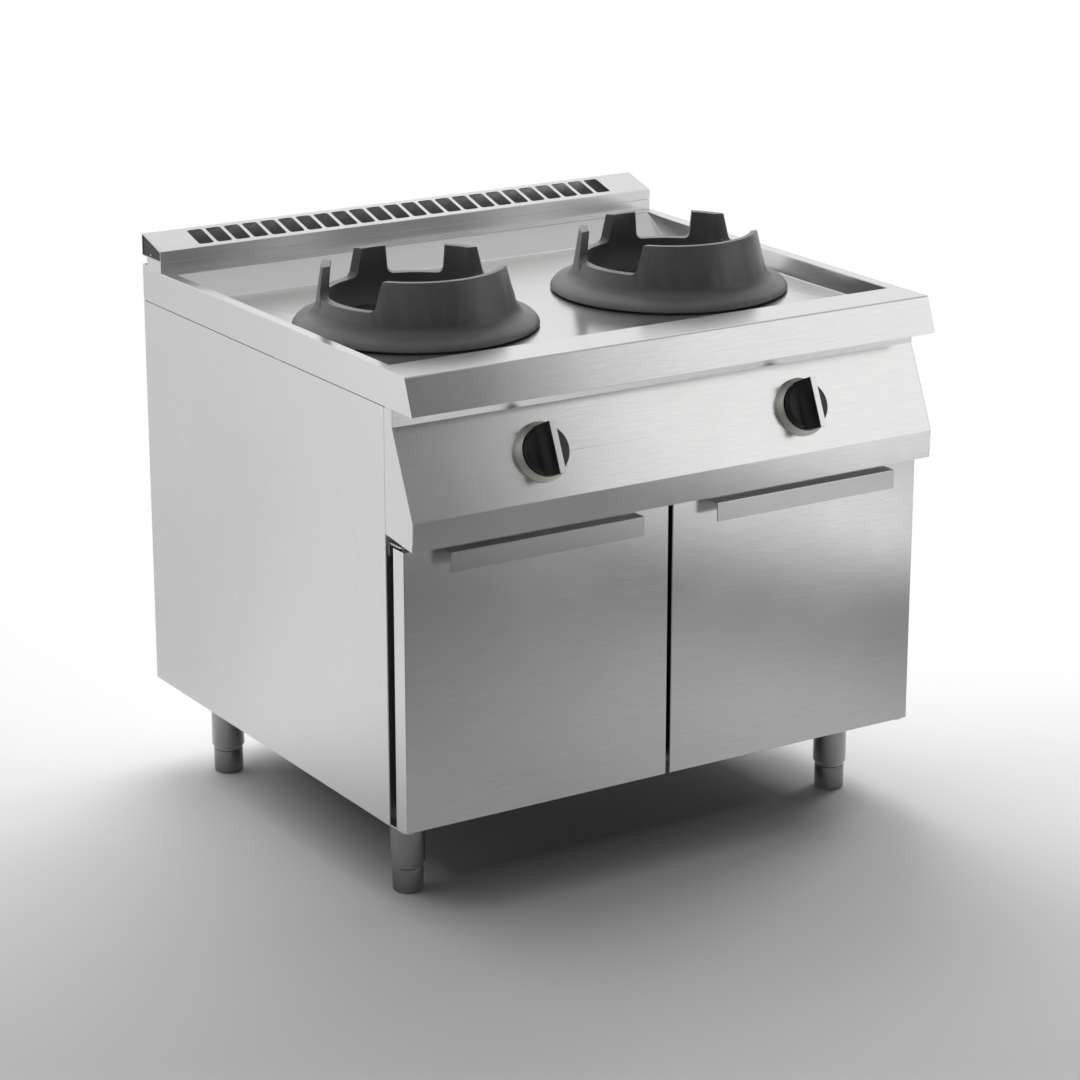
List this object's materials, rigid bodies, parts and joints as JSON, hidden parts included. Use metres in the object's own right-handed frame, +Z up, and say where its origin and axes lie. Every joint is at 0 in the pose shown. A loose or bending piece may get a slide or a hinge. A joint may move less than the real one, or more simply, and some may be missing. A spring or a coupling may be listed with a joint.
{
  "type": "gas wok range",
  "caption": "Free-standing stainless gas wok range with cast wok rings in a recessed worktop, a sloped control panel, a rear flue grille, a cabinet with hinged doors and screw feet.",
  "frame": {"origin": "on the floor, below the middle of the whole object's bounding box", "axes": "+X runs along the front to the right as seen by the cook, +Y points to the back, +Z points up"},
  "size_m": [1, 0.9464, 0.968],
  "materials": {
    "satin_stainless": "satin, fine horizontal brushing",
    "handle_stainless": "satin",
    "leg_stainless": "satin, brushed round",
    "plain_steel": "plain sheet",
    "pipe_metal": "drawn tube",
    "bezel_metal": "satin, turned",
    "pointer_metal": "satin",
    "black_knob": "smooth black",
    "dark_enamel": "matte black",
    "tap_brass": "machined",
    "ring_iron": "matte enamelled casting",
    "burner_iron": "matte casting",
    "catch_plastic": "matte black"
  },
  "bodies": {
    "range_body": {"side_panel_left": "satin_stainless", "side_panel_right": "satin_stainless", "back_panel": "satin_stainless", "base_shelf": "satin_stainless", "cross_rail": "satin_stainless", "heat_shield": "satin_stainless", "worktop": "satin_stainless", "basin_pan": "satin_stainless", "flue_riser": "satin_stainless", "flue_cover": "satin_stainless", "flue_duct": "satin_stainless", "control_panel": "satin_stainless", "panel_cheek_left": "satin_stainless", "panel_cheek_right": "satin_stainless", "flue_end_plugs": "dark_enamel", "knob_bezel_left": "bezel_metal", "knob_bezel_right": "bezel_metal", "gas_tap_left": "tap_brass", "gas_tap_right": "tap_brass", "gas_manifold": "pipe_metal", "gas_supply_pipe": "pipe_metal", "gas_inlet": "tap_brass", "injector_pipes": "pipe_metal", "injectors": "tap_brass", "pilot_burners": "tap_brass", "pilot_pipes": "pipe_metal", "burner_body_left": "burner_iron", "burner_body_right": "burner_iron", "burner_crown_left": "tap_brass", "burner_crown_right": "tap_brass", "burner_straps": "plain_steel", "hinge_plates_left": "plain_steel", "hinge_plates_right": "plain_steel", "door_catches": "catch_plastic", "legs": "leg_stainless", "screws": "plain_steel"},
    "door_left": {"door_left_outer": "satin_stainless", "door_left_inner": "plain_steel", "door_left_fittings": "plain_steel", "handle_left": "handle_stainless"},
    "door_right": {"door_right_outer": "satin_stainless", "door_right_inner": "plain_steel", "door_right_fittings": "plain_steel", "handle_right": "handle_stainless"},
    "plug_left": {"tap_plug_left": "tap_brass"},
    "plug_right": {"tap_plug_right": "tap_brass"},
    "turning_knob_left": {"knob_left": "black_knob", "knob_pointer_left": "pointer_metal", "tap_spindle_left": "pointer_metal"},
    "turning_knob_right": {"knob_right": "black_knob", "knob_pointer_right": "pointer_metal", "tap_spindle_right": "pointer_metal"},
    "ring_left": {"wok_ring_left": "ring_iron"},
    "ring_right": {"wok_ring_right": "ring_iron"},
    "cap_left": {"burner_cap_left": "burner_iron"},
    "cap_right": {"burner_cap_right": "burner_iron"},
    "leveller_front_left": {"foot_front_left": "leg_stainless"},
    "leveller_front_right": {"foot_front_right": "leg_stainless"},
    "leveller_back_left": {"foot_back_left": "leg_stainless"},
    "leveller_back_right": {"foot_back_right": "leg_stainless"}
  },
  "joints": [
    {"name": "door_left_hinge", "type": "hinge", "parent": "range_body", "child": "door_left", "pos_m": [-0.484, -0.38678, 0.38], "axis": [0, 0, -1], "range_deg": [0, 110]},
    {"name": "door_right_hinge", "type": "hinge", "parent": "range_body", "child": "door_right", "pos_m": [0.484, -0.38678, 0.38], "axis": [0, 0, 1], "range_deg": [0, 110]},
    {"name": "tap_left_turn", "type": "hinge", "parent": "range_body", "child": "plug_left", "pos_m": [-0.25, -0.40878, 0.74], "axis": [0, -0.9171, 0.3987], "range_deg": [0, 210]},
    {"name": "knob_left_push", "type": "slide", "parent": "plug_left", "child": "turning_knob_left", "axis": [0, 0.9171, -0.3987], "range_m": [0, 0.004], "stiffness_N_per_m": 1500, "springref_m": -0.004},
    {"name": "tap_right_turn", "type": "hinge", "parent": "range_body", "child": "plug_right", "pos_m": [0.25, -0.40878, 0.74], "axis": [0, -0.9171, 0.3987], "range_deg": [0, 210]},
    {"name": "knob_right_push", "type": "slide", "parent": "plug_right", "child": "turning_knob_right", "axis": [0, 0.9171, -0.3987], "range_m": [0, 0.004], "stiffness_N_per_m": 1500, "springref_m": -0.004},
    {"name": "ring_left_lift", "type": "slide", "parent": "range_body", "child": "ring_left", "axis": [0, 0, 1], "range_m": [0, 0.12]},
    {"name": "ring_right_lift", "type": "slide", "parent": "range_body", "child": "ring_right", "axis": [0, 0, 1], "range_m": [0, 0.12]},
    {"name": "cap_left_lift", "type": "slide", "parent": "range_body", "child": "cap_left", "axis": [0, 0, 1], "range_m": [0, 0.06]},
    {"name": "cap_right_lift", "type": "slide", "parent": "range_body", "child": "cap_right", "axis": [0, 0, 1], "range_m": [0, 0.06]},
    {"name": "leveller_front_left_screw", "type": "slide", "parent": "range_body", "child": "leveller_front_left", "axis": [0, 0, -1], "range_m": [0, 0.05]},
    {"name": "leveller_front_right_screw", "type": "slide", "parent": "range_body", "child": "leveller_front_right", "axis": [0, 0, -1], "range_m": [0, 0.05]},
    {"name": "leveller_back_left_screw", "type": "slide", "parent": "range_body", "child": "leveller_back_left", "axis": [0, 0, -1], "range_m": [0, 0.05]},
    {"name": "leveller_back_right_screw", "type": "slide", "parent": "range_body", "child": "leveller_back_right", "axis": [0, 0, -1], "range_m": [0, 0.05]}
  ]
}
